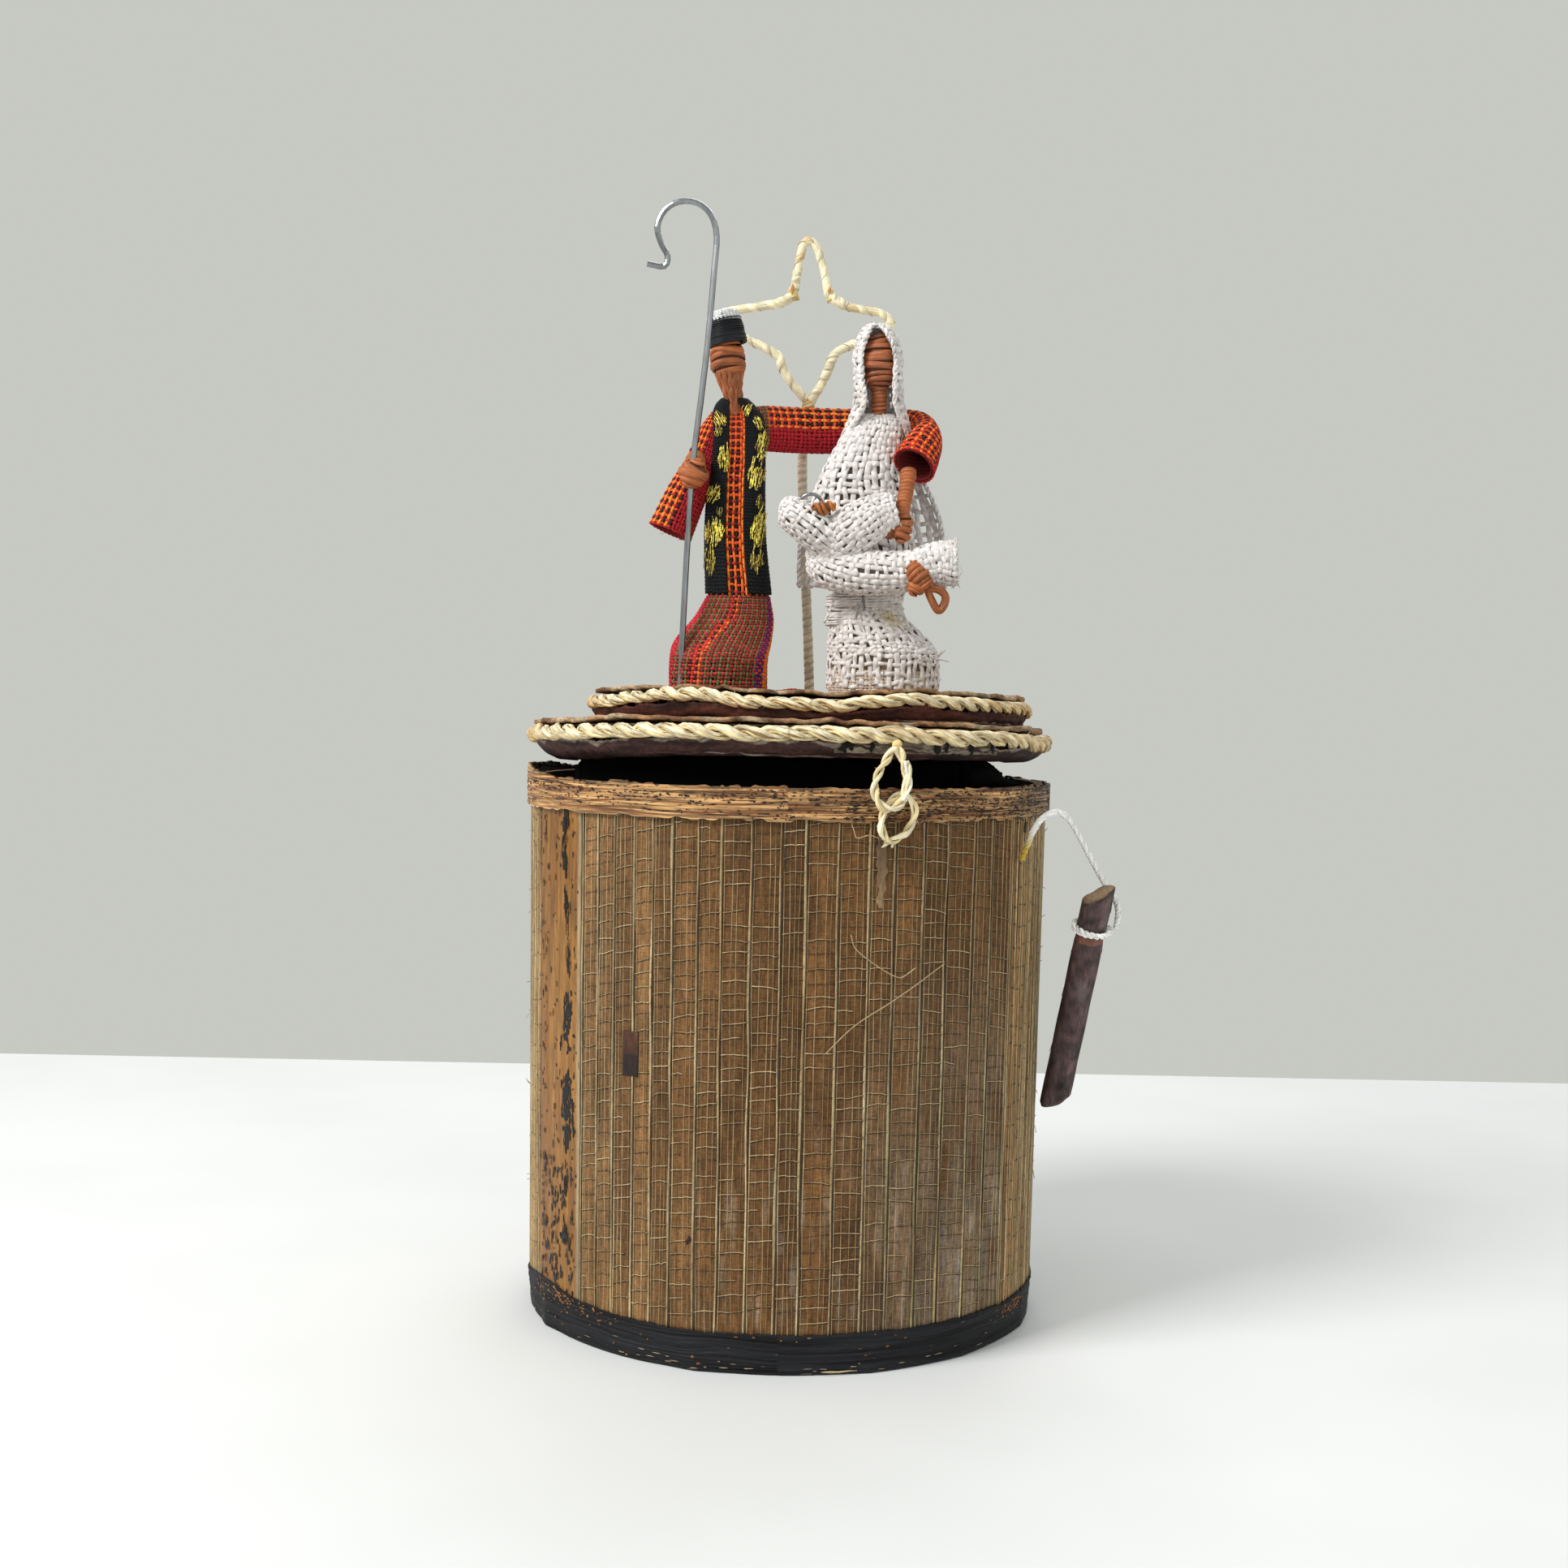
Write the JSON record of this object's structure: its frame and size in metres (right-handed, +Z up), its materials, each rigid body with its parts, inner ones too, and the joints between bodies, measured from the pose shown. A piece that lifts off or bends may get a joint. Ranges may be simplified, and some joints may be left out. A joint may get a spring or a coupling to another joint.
{
  "type": "round keepsake box with figures",
  "caption": "Round bark-covered keepsake box, hinged two-tier lid with rope edging, two wrapped figures, a star and a crook, loop latch and a wooden peg on a string.",
  "frame": {"origin": "centre of the underside of the box, on the table", "axes": "+Z up, -Y towards the front with the latch loops, +X to the right, where the peg hangs"},
  "size_m": [0.1571, 0.1477, 0.2926],
  "materials": {
    "card": "matte raw card",
    "lining": "matte black paper",
    "veneer": "dry banana-leaf-sheath veneer with a raised net of veins",
    "fibre": "dry yellow-brown fibre strip",
    "bark_orange": "smooth orange-brown bark with black flecks, satin",
    "band": "tan bark band with dark speckles, satin",
    "base_band": "black-brown bark band, satin",
    "bark_dark": "dark purple-brown bark, matt",
    "bark_brown": "brown bark, matt",
    "raffia": "twisted cream raffia, slightly shiny",
    "string": "white twisted string",
    "twig": "purple-brown bark on a twig, tan cut ends",
    "wire": "bright galvanised wire",
    "straw": "straw wound on a wire",
    "robe": "hand-woven red and green cloth",
    "check": "woven red, orange and black check cotton",
    "stole": "black satin ribbon with gold brocade",
    "wrap": "brown raffia wound round a core",
    "linen": "coarse open-weave white cotton",
    "cotton": "beige cotton"
  },
  "bodies": {
    "root": {"core_tube": "card", "base_disc": "card", "inner_liner": "lining", "inner_neck": "lining", "veneer_main": "veneer", "fibre_strip_right": "fibre", "veneer_back": "veneer", "fibre_strip_left": "fibre", "bark_strip_left": "bark_orange", "rim_band": "band", "base_band": "base_band", "body_loop": "raffia", "hinge_twine": "raffia", "peg_string": "string"},
    "lid": {"lid_under_cover": "bark_dark", "lid_cover_lip": "bark_dark", "lid_core": "card", "lid_rope": "raffia", "lid_top_cover": "bark_brown", "tier_under_cover": "bark_dark", "tier_core": "card", "tier_rope": "raffia", "tier_top_cover": "bark_brown", "hinge_loop_left": "raffia", "hinge_loop_right": "raffia", "star_pole": "raffia", "star_frame": "raffia", "crook": "wire", "man_core": "straw", "man_robe": "robe", "man_stole_left": "stole", "man_stole_right": "stole", "man_sleeve_right": "check", "man_hand_right": "wrap", "man_sleeve_left": "check", "man_hand_left": "wrap", "man_neck": "wrap", "man_head": "wrap", "man_cap_band": "stole", "man_cap_top": "linen", "woman_core": "straw", "woman_underskirt": "cotton", "woman_skirt": "linen", "woman_bodice": "linen", "woman_veil": "linen", "woman_neck": "wrap", "woman_head": "wrap", "woman_sleeve": "linen", "woman_hand": "wrap", "baby_swaddle": "linen", "baby_head": "wrap", "baby_halo": "wire"},
    "lid_loop": {"lid_loop": "raffia"},
    "peg": {"toggle_peg": "twig", "peg_tie": "string"}
  },
  "joints": [
    {"name": "lid_hinge", "type": "hinge", "parent": "root", "child": "lid", "pos_m": [0, 0.0734, 0.1456], "axis": [-1, 0, 0], "range_deg": [0, 105]},
    {"name": "lid_loop_swing", "type": "hinge", "parent": "lid", "child": "lid_loop", "pos_m": [0.0252, -0.0678, 0.1512], "axis": [-1, 0, 0], "range_deg": [0, 90]},
    {"name": "peg_swing", "type": "hinge", "parent": "root", "child": "peg", "pos_m": [0.07841, -0.02808, 0.10441], "axis": [0, -1, 0], "range_deg": [0, 40]}
  ]
}
